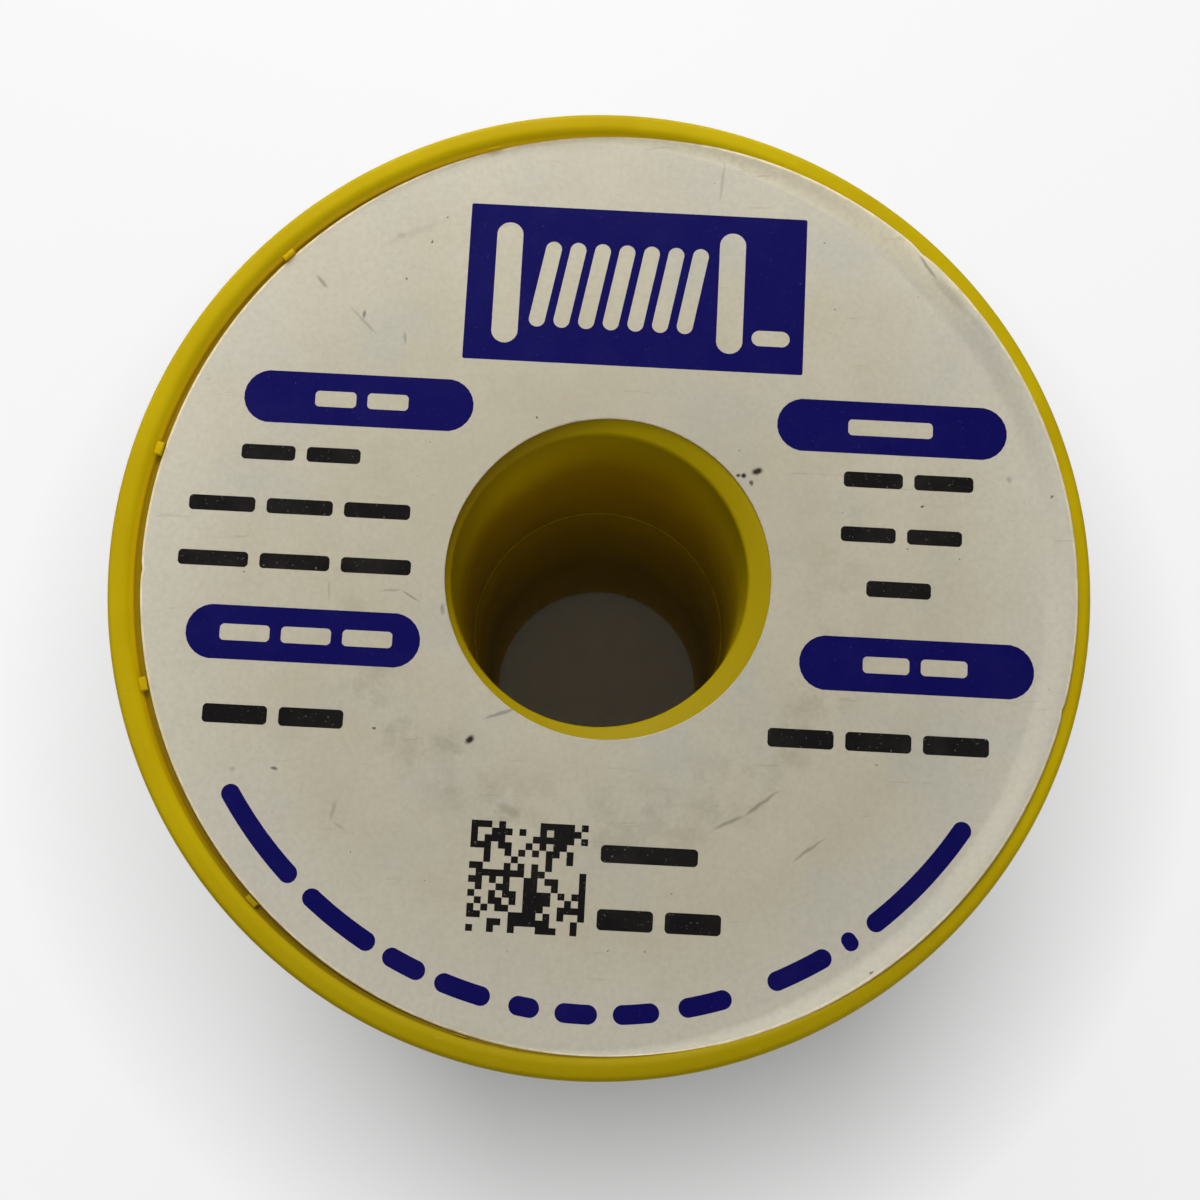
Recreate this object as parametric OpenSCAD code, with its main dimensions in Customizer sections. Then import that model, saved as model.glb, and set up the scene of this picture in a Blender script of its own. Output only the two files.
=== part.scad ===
// Solder wire spool. Two moulded halves plug together at a spigot and sleeve, a round
// paper label lies in the upper recess, and thick flux-cored wire is wound between the
// flanges. Z is the spool's axis, the lower rim stands on Z = 0, units are millimetres.

/* [Flanges] */
// Outer diameter of both flanges
flange_d = 65; // [60:1:80]
// Height of the spool over both rims
spool_h = 62; // [50:1:80]
// Thickness of a flange plate below its recess
plate_t = 2; // [1.4:0.1:3]
// Height of the raised rim above the recess floor
lip_h = 0.8; // [0.5:0.1:1.2]
// Width of the flat land on a rim
land_w = 1.3; // [1:0.1:2]
// Width of the sloped inner side of a rim
slope_w = 0.4; // [0.2:0.05:0.6]
// Rounding of a flange's outer edges
edge_r = 0.4; // [0.2:0.05:0.6]

/* [Barrel] */
// Diameter of the bore in the upper half
bore_d = 19.8; // [16:0.2:24]
// Width of the countersink at the bore's mouth
mouth_w = 1.3; // [0.8:0.1:1.6]
// Depth of that countersink below the recess floor
mouth_h = 0.6; // [0.3:0.1:1]
// How far the lower half's bore stands in from the upper one
bore_step = 0.2; // [0.1:0.05:0.6]
// Wall of the lower half's spigot
spigot_wall = 2; // [1.4:0.1:3]
// Wall of the upper half's sleeve round the spigot
sleeve_wall = 1.75; // [1.2:0.05:2.5]
// Depth of the parting ring below the upper rim
ring_depth = 25.2; // [18:0.2:30]
// Length of the spigot inside the sleeve
overlap = 12; // [6:0.5:16]
// Radial clearance between spigot and sleeve
joint_gap = 0.05; // [0.02:0.01:0.1]
// Rounding of the spigot's inner lip, which shows as the ring in the bore
spigot_lip_r = 0.15; // [0.1:0.05:0.5]

/* [Label] */
// Diameter of the paper label
label_d = 62; // [56:0.5:62.5]
// Diameter of the label's hole
label_hole_d = 21.5; // [20.5:0.1:24]
// Thickness of the paper
label_t = 0.12; // [0.08:0.01:0.3]
// Thickness of the glue under it
glue_t = 0.03; // [0.02:0.01:0.1]
// How far to the side the label was stuck
label_shift = 0.57; // [0:0.01:0.6]
// Width over which its margin climbs to the rim on that side
curl_w = 1.4; // [1:0.1:2.5]
// How far the climb's cone lies off to the other side
curl_shift = 1; // [0.6:0.1:2]

/* [Wire] */
// Diameter of the solder wire
wire_d = 3; // [2.5:0.1:3.2]
// Layers of wire below the outer one
inner_layers = 3; // [1:1:3]
// Radial clearance between the winding and the barrel
barrel_gap = 0.1; // [0.05:0.05:0.3]
// Gap between an end turn and its flange
end_gap = 0.3; // [0.2:0.05:0.6]
// Least gap wanted between neighbouring turns
turn_gap = 0.45; // [0.45:0.05:1]
// Radial gap between the outer turns and the layers below
layer_gap = 0.1; // [0.05:0.05:0.3]
// Length of the straight free end
free_end_l = 15; // [8:1:17]
// Direction from the axis to the place where the free end leaves the winding
free_end_angle = 250; // [0:5:355]
// Part of a turn over which the wire climbs onto the outer layer
climb_angle = 40; // [30:5:60]
// Diameter of the flux core
flux_d = 1.3; // [0.8:0.1:1.5]
// Radial clearance of the flux core
flux_gap = 0.02; // [0.01:0.01:0.05]

/* [Start hole] */
// Radial clearance of the wire's first end in its hole
start_gap = 0.25; // [0.1:0.05:0.5]
// How far that end stands out of the recess floor
start_proud = 0.35; // [0.1:0.05:0.45]
// Direction from the axis to the start hole
start_angle = 205; // [0:5:355]

/* [Hidden] */
$fn = 96;
eps = 0.01;

flange_r = flange_d / 2;
bore_r = bore_d / 2;
lower_bore_r = bore_r - bore_step;
spigot_r = lower_bore_r + spigot_wall;
socket_r = spigot_r + joint_gap;
barrel_r = socket_r + sleeve_wall;
flange_t = plate_t + lip_h;
land_r = flange_r - land_w;
recess_r = land_r - slope_w;
ring_z = spool_h - ring_depth;
shoulder_z = ring_z - overlap;
floor_z = spool_h - lip_h;

channel_bottom = flange_t;
channel_top = spool_h - flange_t;
channel_w = channel_top - channel_bottom;

// The layers nest: each lies in the furrows of the one below
wire_r = wire_d / 2;
layer_step = wire_d * sin(60);
winding_r = barrel_r + barrel_gap;
outer_layer_r = winding_r + wire_r + inner_layers * layer_step;

// The turns are swept with 24 rings a loop and 6 sides, a flat side facing the barrel
loop_rings = 24;
tube_sides = 6;
tube_flat = wire_r * cos(180 / tube_sides);
core_r = (outer_layer_r - tube_flat) * cos(180 / loop_rings) - layer_gap;

first_turn_z = channel_top - end_gap - wire_r;
last_turn_z = channel_bottom + end_gap + wire_r;
turns = floor((first_turn_z - last_turn_z) / (wire_d + turn_gap));
pitch = (first_turn_z - last_turn_z) / turns;
start_pin_r = winding_r + wire_r + start_gap;

plastic = [0.73, 0.63, 0.04];
paper = [0.78, 0.75, 0.68];
solder = [0.66, 0.67, 0.69];
rosin = [0.72, 0.47, 0.12];

// What is cut off an outer corner at the origin to round it, the solid lying at -X and -Y
module corner_cut(r) {
    difference() {
        translate([-r, -r]) square(r + eps);
        translate([-r, -r]) circle(r);
    }
}

// Half section of a flange whose rim lies at Z = 0 and whose plate is below it
module flange_section(mouth_bore_r) {
    difference() {
        translate([mouth_bore_r, -flange_t]) square([flange_r - mouth_bore_r, flange_t]);
        polygon([
            [0, eps],
            [land_r + slope_w / lip_h * eps, eps],
            [recess_r, -lip_h],
            [0, -lip_h],
        ]);
        translate([flange_r, 0]) corner_cut(edge_r);
        translate([flange_r, -flange_t]) mirror([0, 1]) corner_cut(edge_r);
        translate([mouth_bore_r, -lip_h])
            polygon([[-mouth_w, -2 * mouth_h], [2 * mouth_w, mouth_h], [-mouth_w, mouth_h]]);
    }
}

module upper_half() {
    color(plastic)
        rotate_extrude() {
            translate([0, spool_h]) flange_section(bore_r);
            translate([bore_r, ring_z]) square([barrel_r - bore_r, channel_top - ring_z]);
            translate([socket_r, shoulder_z]) square([sleeve_wall, ring_z - shoulder_z]);
        }
}

module lower_half() {
    color(plastic)
        difference() {
            rotate_extrude() {
                mirror([0, 1]) flange_section(lower_bore_r);
                translate([lower_bore_r, channel_bottom])
                    square([barrel_r - lower_bore_r, shoulder_z - channel_bottom]);
                difference() {
                    translate([lower_bore_r, shoulder_z]) square([spigot_wall, overlap]);
                    translate([lower_bore_r, ring_z]) mirror([1, 0]) corner_cut(spigot_lip_r);
                }
            }
            rotate(start_angle)
                translate([start_pin_r, 0, -eps])
                    cylinder(r = wire_r + start_gap, h = flange_t + 2 * eps);
        }
}

// All that lies below one face of the label. The face is flat at height z, climbs along a
// cone on the side that the label was shifted to, and is flat again on the rim. The cone's
// axis lies off to the other side, so the margin there stays flat in the recess.
module below_label_face(z, reach) {
    cone_end = curl_w / lip_h * eps;
    translate([0, 0, z - lip_h]) cylinder(r = reach, h = lip_h);
    difference() {
        translate([0, 0, z - eps]) cylinder(r = reach, h = lip_h + eps);
        translate([-curl_shift, 0, z - eps])
            cylinder(
                r1 = land_r - curl_w + curl_shift - cone_end,
                r2 = land_r + curl_shift + cone_end,
                h = lip_h + 2 * eps
            );
    }
}

module front_label() {
    color(paper)
        difference() {
            intersection() {
                difference() {
                    below_label_face(floor_z + glue_t + label_t, label_d);
                    below_label_face(floor_z + glue_t, label_d + eps);
                }
                translate([label_shift, 0, floor_z])
                    cylinder(d = label_d, h = lip_h + 1);
            }
            translate([label_shift, 0, floor_z - 1]) cylinder(d = label_hole_d, h = lip_h + 3);
            rotate_extrude()
                polygon([
                    [recess_r - glue_t, floor_z - 1],
                    [recess_r - glue_t, floor_z],
                    [land_r - glue_t, spool_h + glue_t / 2],
                    [label_d + 1, spool_h + glue_t / 2],
                    [label_d + 1, floor_z - 1],
                ]);
        }
}

// Inner layers of wire as one plain core, with the ramp where the wire climbs out of it
module solder_inner_layers() {
    ramp_steps = 12;
    color(solder)
        difference() {
            union() {
                translate([0, 0, channel_bottom]) cylinder(r = core_r, h = channel_w);
                rotate(free_end_angle)
                    translate([0, 0, first_turn_z - wire_r])
                        linear_extrude(height = wire_d)
                            polygon([
                                [winding_r + wire_r, -wire_d],
                                [outer_layer_r + wire_r, -wire_d],
                                for (k = [1 : ramp_steps])
                                    let (
                                        a = -atan(wire_d / outer_layer_r) - k * climb_angle / ramp_steps,
                                        r = outer_layer_r + wire_r
                                            - (outer_layer_r + wire_r - core_r + eps) * k / ramp_steps
                                    )
                                    [r * cos(a), r * sin(a)],
                            ]);
            }
            translate([0, 0, channel_bottom - eps])
                cylinder(r = winding_r, h = channel_w + 2 * eps);
        }
}

// Centre line of the outer layer: a straight stretch of one wire diameter, the turns
// going down at a steady rate, and a second straight stretch.
function turn_point(i) =
    let (a = free_end_angle + i * 360 / loop_rings)
    [outer_layer_r * cos(a), outer_layer_r * sin(a), first_turn_z - pitch * i / loop_rings];
function heading(a) = [-sin(a), cos(a), 0];
wire_route = [
    turn_point(0) - wire_d * heading(free_end_angle),
    for (i = [0 : turns * loop_rings]) turn_point(i),
    turn_point(turns * loop_rings) + wire_d * heading(free_end_angle),
];
route_end = len(wire_route) - 1;

function unit(v) = v / norm(v);
function route_heading(i) =
    unit(wire_route[min(i + 1, route_end)] - wire_route[max(i - 1, 0)]);
function tube_ring(i) =
    let (
        along = route_heading(i),
        out = unit(cross(along, [0, 0, 1])),
        up = cross(out, along)
    )
    [
        for (k = [0 : tube_sides - 1])
            let (a = (k + 0.5) * 360 / tube_sides)
            wire_route[i] + wire_r * (cos(a) * out + sin(a) * up)
    ];

// Least gap between two stretches of the tube that are half a turn or more apart
function gaps_from(i) = [
    for (j = [i + loop_rings / 2 : min(i + 3 * loop_rings / 2, route_end)])
        norm(wire_route[j] - wire_route[i]) - wire_d
];
least_gap = min([
    for (i = [0 : route_end - loop_rings / 2])
        min(gaps_from(i))
]);
echo(str("Turns ", turns, ", least gap of the outer turns to themselves ", least_gap, " mm"));

module solder_outer_turns() {
    points = [for (i = [0 : route_end]) each tube_ring(i)];
    last = route_end * tube_sides;
    faces = [
        for (i = [0 : route_end - 1], k = [0 : tube_sides - 1])
            let (
                a = i * tube_sides + k,
                b = i * tube_sides + (k + 1) % tube_sides
            )
            each [[a, b, b + tube_sides], [a, b + tube_sides, a + tube_sides]],
        for (k = [1 : tube_sides - 2]) [0, k + 1, k],
        for (k = [1 : tube_sides - 2]) [last, last + k, last + k + 1],
    ];
    color(solder) polyhedron(points, faces);
}

// Places a piece that starts at the end of the outer turns and runs on along +Z
module at_free_end() {
    translate(wire_route[route_end])
        rotate([0, 0, free_end_angle])
            rotate([-90, 0, 0])
                children();
}

// Places a piece that starts under the winding and runs down through the start hole
module at_start_end() {
    rotate(start_angle)
        translate([start_pin_r, 0, channel_bottom])
            mirror([0, 0, 1])
                children();
}

start_end_l = plate_t + start_proud;

module wire_end(length) {
    difference() {
        cylinder(r = wire_r, h = length);
        translate([0, 0, -eps]) cylinder(d = flux_d, h = length + 2 * eps);
    }
}

module solder_free_end() {
    color(solder) at_free_end() wire_end(free_end_l);
}

module solder_start_end() {
    color(solder) at_start_end() wire_end(start_end_l);
}

module flux_core() {
    color(rosin) {
        at_free_end() cylinder(r = flux_d / 2 - flux_gap, h = free_end_l);
        at_start_end() cylinder(r = flux_d / 2 - flux_gap, h = start_end_l);
    }
}

upper_half();
lower_half();
front_label();
solder_inner_layers();
solder_outer_turns();
solder_free_end();
solder_start_end();
flux_core();
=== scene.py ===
"""A reel of thick flux-cored solder wire: a yellow two-piece spool with a round paper label."""
import math
import random

import bmesh
import bpy
from mathutils import Matrix, Vector


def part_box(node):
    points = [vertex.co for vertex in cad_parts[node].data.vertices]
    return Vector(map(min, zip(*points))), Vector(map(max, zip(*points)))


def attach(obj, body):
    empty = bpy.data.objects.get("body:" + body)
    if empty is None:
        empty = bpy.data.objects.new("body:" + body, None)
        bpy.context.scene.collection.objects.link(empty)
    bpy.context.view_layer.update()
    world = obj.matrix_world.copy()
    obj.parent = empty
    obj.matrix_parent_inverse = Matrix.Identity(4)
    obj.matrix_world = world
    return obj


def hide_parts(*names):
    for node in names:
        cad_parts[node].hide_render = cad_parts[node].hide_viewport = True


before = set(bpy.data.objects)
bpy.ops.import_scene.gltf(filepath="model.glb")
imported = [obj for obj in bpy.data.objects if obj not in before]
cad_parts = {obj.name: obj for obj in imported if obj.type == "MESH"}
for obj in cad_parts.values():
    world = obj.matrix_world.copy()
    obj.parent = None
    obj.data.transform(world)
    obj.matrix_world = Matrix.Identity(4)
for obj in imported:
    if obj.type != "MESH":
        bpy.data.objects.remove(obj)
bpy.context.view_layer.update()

MM = 0.001


# --- Upper half -------------------------------------------------------------------------
# The upper flange and most of the barrel, moulded in one from yellow plastic. A raised rim
# runs round its recess, with a small nub on the rim's inner slope at those twelfths of a turn
# where the label leaves the slope bare, and the barrel ends in a sleeve that takes the lower
# half's spigot.

upper_low, upper_high = [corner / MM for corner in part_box("upper_half")]
lower_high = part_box("lower_half")[1] / MM
label_low, label_high = [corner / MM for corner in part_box("front_label")]

flange_r = upper_high.x
rim_top = upper_high.z
lip_h = 0.8
plate_t = 2
land_w = 1.3
slope_w = 0.4
bore_r = 9.9
bore_step = 0.2
spigot_wall = 2
joint_gap = 0.05
sleeve_wall = 1.75
flange_t = lip_h + plate_t
land_r = flange_r - land_w
recess_r = land_r - slope_w
lower_bore_r = bore_r - bore_step
spigot_r = lower_bore_r + spigot_wall
socket_r = spigot_r + joint_gap
barrel_r = socket_r + sleeve_wall
ring_z = lower_high.z
shoulder_z = upper_low.z
floor_z = rim_top - lip_h

edge_round = 0.4
mouth_w = 1.3
mouth_h = 0.6
mouth_round = 0.25
brow_round = 0.3
land_round = 0.42
foot_round = 0.12
spigot_round = 0.15
barrel_foot_round = 0.3

nub_count = 12
first_nub = 13.5
nub_angles = [first_nub + 360 / nub_count * k for k in range(nub_count)]
nub_w = 0.9
nub_drop = 0.3
nub_root = 0.2
nub_round = 0.08

label_x = (label_low.x + label_high.x) / 2
label_r = (label_high.x - label_low.x) / 2

YELLOW = (201, 176, 2)
YELLOW_DEEP = (192, 164, 1)
YELLOW_WORN = (202, 180, 36)
YELLOW_FRONT_SHADE = (172, 150, 2)
YELLOW_SLOPE_SHADE = (226, 184, 6)
YELLOW_DARK_SHADE = (106, 81, 6)
YELLOW_MOUTH_SHADE = (166, 144, 2)
YELLOW_SHADED = (145, 121, 2)
YELLOW_DARK = (64, 50, 6)
YELLOW_FOOT_LIGHT = (231, 200, 75)
SPECK = (74, 60, 22)


def colour(red, green, blue):
    """Linear colour of a display colour with parts from 0 to 255."""
    shares = [part / 255 for part in (red, green, blue)]
    return (*[s / 12.92 if s <= 0.04045 else ((s + 0.055) / 1.055) ** 2.4 for s in shares], 1)


def add(tree, kind, inputs=None, **settings):
    """New shader node. Each input is a value, or the socket that feeds it."""
    made = tree.nodes.new("ShaderNode" + kind)
    for name, value in settings.items():
        setattr(made, name, value)
    for key, value in (inputs or {}).items():
        if isinstance(value, bpy.types.NodeSocket):
            tree.links.new(value, made.inputs[key])
        else:
            made.inputs[key].default_value = value
    return made


def noise(tree, place, size, detail=2.0, rough=0.5):
    """Noise from 0 to 1 with features of that size in millimetres."""
    made = add(tree, "TexNoise", {"Vector": place, "Scale": 1 / (size * MM), "Detail": detail,
                                  "Roughness": rough})
    return made.outputs["Fac"]


def remap(tree, value, low, high, to_low=0.0, to_high=1.0):
    """Value brought from one range to another, and kept inside it."""
    made = add(tree, "MapRange", {"Value": value, "From Min": low, "From Max": high,
                                  "To Min": to_low, "To Max": to_high})
    return made.outputs["Result"]


def times(tree, *values):
    """Product of several factors."""
    product = values[0]
    for value in values[1:]:
        product = add(tree, "Math", {0: product, 1: value}, operation="MULTIPLY").outputs[0]
    return product


def mixed(tree, share, first, second):
    """Colour between two colours, each a socket or display values."""
    ends = [c if isinstance(c, bpy.types.NodeSocket) else colour(*c) for c in (first, second)]
    made = add(tree, "Mix", {0: share, 6: ends[0], 7: ends[1]}, data_type="RGBA")
    return made.outputs[2]


def bump(tree, height, depth, strength=1.0, under=None):
    """Normal from a height field, its depth in millimetres."""
    inputs = {"Height": height, "Distance": depth * MM, "Strength": strength}
    if under:
        inputs["Normal"] = under
    return add(tree, "Bump", inputs).outputs["Normal"]


def new_material(name, **sockets):
    """Material, its tree, its shader and the Object coordinates."""
    material = bpy.data.materials.new(name)
    material.use_nodes = True
    tree = material.node_tree
    shader = tree.nodes["Principled BSDF"]
    for socket, value in sockets.items():
        shader.inputs[socket.replace("_", " ")].default_value = value
    place = add(tree, "TexCoord").outputs["Object"]
    return material, tree, shader, place


def from_axis(tree, place, centre=(0, 0)):
    """Distance from an upright axis, in metres."""
    flat = add(tree, "VectorMath", {0: place, 1: (1, 1, 0)}, operation="MULTIPLY").outputs[0]
    middle = (centre[0] * MM, centre[1] * MM, 0)
    return add(tree, "VectorMath", {0: flat, 1: middle}, operation="DISTANCE").outputs["Value"]


def towards(tree, place, direction):
    """How far each spot lies from the origin in that direction, in metres."""
    made = add(tree, "VectorMath", {0: place, 1: direction}, operation="DOT_PRODUCT")
    return made.outputs["Value"]


def moulded_plastic():
    """Satin yellow plastic with faint flow clouds, scuffs, specks and a worn outer edge. Painted
    shade darkens it towards the front, in the bore's mouths and on the bore's sides, on the rim's
    inner slope (in orange) and in the ditch at its foot. Painted light brightens the bore towards
    its lower end."""
    material, tree, shader, place = new_material("yellow_plastic", Specular_IOR_Level=0.06)
    clouds = remap(tree, noise(tree, place, 9, 3), 0.35, 0.65)
    base = mixed(tree, clouds, YELLOW, YELLOW_DEEP)
    along = add(tree, "SeparateXYZ", {0: place}).outputs
    axis = from_axis(tree, place)
    # Painted shade: the plastic is darker towards the front (-Y)
    base = mixed(tree, remap(tree, along["Y"], -14 * MM, -31 * MM), base, YELLOW_FRONT_SHADE)

    drawn = add(tree, "Mapping", {"Vector": place, "Rotation": (0, 0, 0.6), "Scale": (1, 7, 7)})
    scuffs = remap(tree, noise(tree, drawn.outputs[0], 2.2, 5, 0.6), 0.62, 0.74, 0, 0.35)
    base = mixed(tree, scuffs, base, YELLOW_WORN)

    edge = remap(tree, axis, (flange_r - 0.35) * MM, flange_r * MM)
    chips = remap(tree, noise(tree, place, 0.7, 4, 0.65), 0.58, 0.70, 0, 0.35)
    base = mixed(tree, times(tree, edge, chips), base, YELLOW_WORN)

    # The bore: painted shade in both mouths, deeper on the upper left, painted shade on its sides,
    # painted light towards its lower end, and a dark ring at the joint
    above = add(tree, "Math", {0: rim_top * MM, 1: along["Z"]}, operation="SUBTRACT").outputs[0]
    depth = add(tree, "Math", {0: above, 1: along["Z"]}, operation="MINIMUM").outputs[0]
    # Painted shade: the mouths and the upper bore are darker, more so on the upper left side
    mouth = remap(tree, axis, 13 * MM, 12 * MM)
    upper_part = remap(tree, depth, 8 * MM, 1.2 * MM)
    shaded = remap(tree, towards(tree, place, (-0.9, 0.43, 0)), 3 * MM, 9 * MM)
    mouth_painted_shade = mixed(tree, shaded, YELLOW_MOUTH_SHADE, YELLOW_SHADED)
    base = mixed(tree, times(tree, mouth, upper_part), base, mouth_painted_shade)
    # Painted shade on the bore's sides (towards +X and -X), below the mouth
    sideways = add(tree, "Math", {0: along["X"]}, operation="ABSOLUTE").outputs[0]
    side_painted_shade = remap(tree, sideways, 6 * MM, 9.5 * MM, 0, 0.3)
    below_mouth = remap(tree, depth, 1.3 * MM, 1.8 * MM)
    base = mixed(tree, times(tree, mouth, side_painted_shade, below_mouth), base, YELLOW_DARK)
    # Painted light: the bore's wall is paler towards its lower end, above the lower mouth
    foot_painted_light = times(tree, mouth, remap(tree, along["Z"], 16 * MM, 2 * MM),
                 remap(tree, along["Z"], 1.3 * MM, 1.8 * MM))
    base = mixed(tree, foot_painted_light, base, YELLOW_FOOT_LIGHT)
    bored = remap(tree, axis, (bore_r + 0.3) * MM, (bore_r + 0.1) * MM, 0, 0.33)
    from_lip = add(tree, "Math", {0: along["Z"], 1: ring_z * MM}, operation="SUBTRACT").outputs[0]
    from_lip = add(tree, "Math", {0: from_lip}, operation="ABSOLUTE").outputs[0]
    at_ring = remap(tree, from_lip, 0.3 * MM, 0.15 * MM)
    base = mixed(tree, times(tree, bored, at_ring), base, YELLOW_DARK)

    # The rim's inner slope in a painted orange shade that is darker towards the front, and painted
    # shade in the ditch at its foot
    inside = remap(tree, axis, (recess_r - 0.4) * MM, (recess_r - 0.1) * MM)
    outside = remap(tree, axis, (land_r - 0.15) * MM, (land_r + 0.1) * MM, 1, 0)
    outside = times(tree, outside, remap(tree, depth, 1.4 * MM, 1.1 * MM))
    sunk = remap(tree, depth, 0.22 * MM, 0.4 * MM)
    front_shade_share = remap(tree, along["Y"], -2 * MM, -22 * MM)
    corner = mixed(tree, front_shade_share, YELLOW_SLOPE_SHADE, YELLOW_DARK_SHADE)
    base = mixed(tree, times(tree, inside, outside, sunk, 0.8), base, corner)
    # Painted shade in the ditch at the foot of the slope
    ditch = remap(tree, axis, (recess_r - 0.75) * MM, (recess_r - 0.45) * MM)
    bottom = remap(tree, depth, 0.58 * MM, 0.76 * MM)
    base = mixed(tree, times(tree, ditch, outside, bottom, 0.7), base, YELLOW_DARK_SHADE)

    specks = remap(tree, noise(tree, place, 0.5, 1), 0.80, 0.84, 0, 0.7)
    base = mixed(tree, specks, base, SPECK)
    tree.links.new(base, shader.inputs["Base Color"])

    gloss = remap(tree, noise(tree, place, 1.5, 4), 0.3, 0.7, 0.42, 0.58)
    tree.links.new(gloss, shader.inputs["Roughness"])
    grain = bump(tree, noise(tree, place, 0.16, 2), 0.004, 0.5)
    waves = bump(tree, noise(tree, place, 3.5, 2), 0.03, 0.5, grain)
    tree.links.new(waves, shader.inputs["Normal"])
    return material


def turned(corners):
    """Solid of revolution about Z from a closed half section in millimetres. Each corner is
    its radius, its height and its rounding."""
    bm = bmesh.new()
    points = [bm.verts.new((radius, 0, height)) for radius, height, _ in corners]
    for one, other in zip(points, points[1:] + points[:1]):
        bm.edges.new((one, other))
    for point, (_, _, rounding) in zip(points, corners):
        if rounding:
            bmesh.ops.bevel(bm, geom=[point], affect="VERTICES", offset=rounding,
                            offset_type="OFFSET", segments=4 + round(4 * rounding), profile=0.5,
                            material=-1)
    bmesh.ops.spin(bm, geom=bm.verts[:] + bm.edges[:], cent=(0, 0, 0), axis=(0, 0, 1),
                   angle=math.tau, steps=300, use_merge=True)
    bmesh.ops.recalc_face_normals(bm, faces=bm.faces)
    return bm


def combined(bm, tool, operation):
    """bm and tool joined or cut by Blender's Boolean modifier."""
    holders = []
    for source in (bm, tool):
        mesh = bpy.data.meshes.new("holder")
        source.to_mesh(mesh)
        source.free()
        holders.append(bpy.data.objects.new("holder", mesh))
        bpy.context.collection.objects.link(holders[-1])
    body, cutter = holders
    step = body.modifiers.new("step", "BOOLEAN")
    step.operation = operation
    step.solver = "EXACT"
    step.object = cutter
    bpy.context.view_layer.update()
    seen = body.evaluated_get(bpy.context.evaluated_depsgraph_get())
    result = bmesh.new()
    result.from_mesh(seen.to_mesh())
    for holder in holders:
        mesh = holder.data
        bpy.data.objects.remove(holder)
        bpy.data.meshes.remove(mesh)
    return result


def finished(bm, name, materials, slot, *nodes):
    """Piece made from a mesh in millimetres, standing for the named nodes of the frame."""
    bmesh.ops.scale(bm, vec=(MM, MM, MM), verts=bm.verts)
    mesh = bpy.data.meshes.new(name)
    bm.to_mesh(mesh)
    bm.free()
    for material in materials:
        mesh.materials.append(material)
    mesh.shade_smooth()
    mesh.set_sharp_from_angle(angle=math.radians(35))
    piece = bpy.data.objects.new(name, mesh)
    bpy.context.collection.objects.link(piece)
    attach(piece, "root")
    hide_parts(*nodes)
    return piece


def label_edge(angle):
    """Distance from the spool's axis to the label's edge in that direction."""
    turn = math.radians(angle)
    across = label_x * math.sin(turn)
    return label_x * math.cos(turn) + math.sqrt(label_r ** 2 - across ** 2)


def nubs(angles, reach):
    """Blocks standing on the rim's inner slope of the upper flange, nearly as high as its land."""
    bm = bmesh.new()
    outer = land_r - nub_root
    foot = floor_z - nub_root
    top = rim_top - nub_drop
    for angle in angles:
        inner = reach(angle)
        size = Matrix.Diagonal((outer - inner, nub_w, top - foot, 1))
        place = Matrix.Translation(((inner + outer) / 2, 0, (foot + top) / 2))
        turn = Matrix.Rotation(math.radians(angle), 4, "Z")
        block = bmesh.ops.create_cube(bm, size=1, matrix=turn @ place @ size)["verts"]
        lid = {e for v in block for e in v.link_edges
               if min(v.co.z for v in e.verts) > foot + nub_round}
        bmesh.ops.bevel(bm, geom=list(lid), affect="EDGES", offset=nub_round,
                        offset_type="OFFSET", segments=3, profile=0.5, material=-1)
    return bm


plastic = moulded_plastic()

upper_section = [
    (bore_r, ring_z, 0),
    (bore_r, floor_z - mouth_h, mouth_round),
    (bore_r + mouth_w, floor_z, brow_round),
    (recess_r, floor_z, foot_round),
    (land_r, rim_top, land_round),
    (flange_r, rim_top, edge_round),
    (flange_r, rim_top - flange_t, edge_round),
    (barrel_r, rim_top - flange_t, barrel_foot_round),
    (barrel_r, shoulder_z, spigot_round),
    (socket_r, shoulder_z, spigot_round),
    (socket_r, ring_z, 0),
]
bare_nubs = [angle for angle in nub_angles if label_edge(angle) < recess_r + 0.1]
upper = combined(turned(upper_section), nubs(bare_nubs, lambda a: label_edge(a) + 0.06), "UNION")
finished(upper, "upper_half_moulded", [plastic], "yellow_plastic", "upper_half")


# --- Lower half -------------------------------------------------------------------------
# The same moulding turned over, with a spigot in place of the sleeve. The spigot's lip stands
# in a little from the upper bore, and its flange has the hole for the wire's first end.

start_low, start_high = [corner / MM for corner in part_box("solder_start_end")]
start_x = (start_low.x + start_high.x) / 2
start_y = (start_low.y + start_high.y) / 2
wire_r = (start_high.x - start_low.x) / 2
start_gap = 0.25

lower_section = [
    (lower_bore_r + mouth_w, lip_h, brow_round),
    (lower_bore_r, lip_h + mouth_h, mouth_round),
    (lower_bore_r, ring_z, spigot_round),
    (spigot_r, ring_z, 0.1),
    (spigot_r, shoulder_z, 0),
    (barrel_r, shoulder_z, 0.1),
    (barrel_r, flange_t, barrel_foot_round),
    (flange_r, flange_t, edge_round),
    (flange_r, 0, edge_round),
    (land_r, 0, land_round),
    (recess_r, lip_h, foot_round),
]
lower_nubs = nubs(nub_angles, lambda a: recess_r - nub_root)
bmesh.ops.transform(lower_nubs, verts=lower_nubs.verts, matrix=Matrix.Rotation(math.pi, 4, "X"))
bmesh.ops.translate(lower_nubs, verts=lower_nubs.verts, vec=(0, 0, rim_top))
lower = combined(turned(lower_section), lower_nubs, "UNION")

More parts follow.
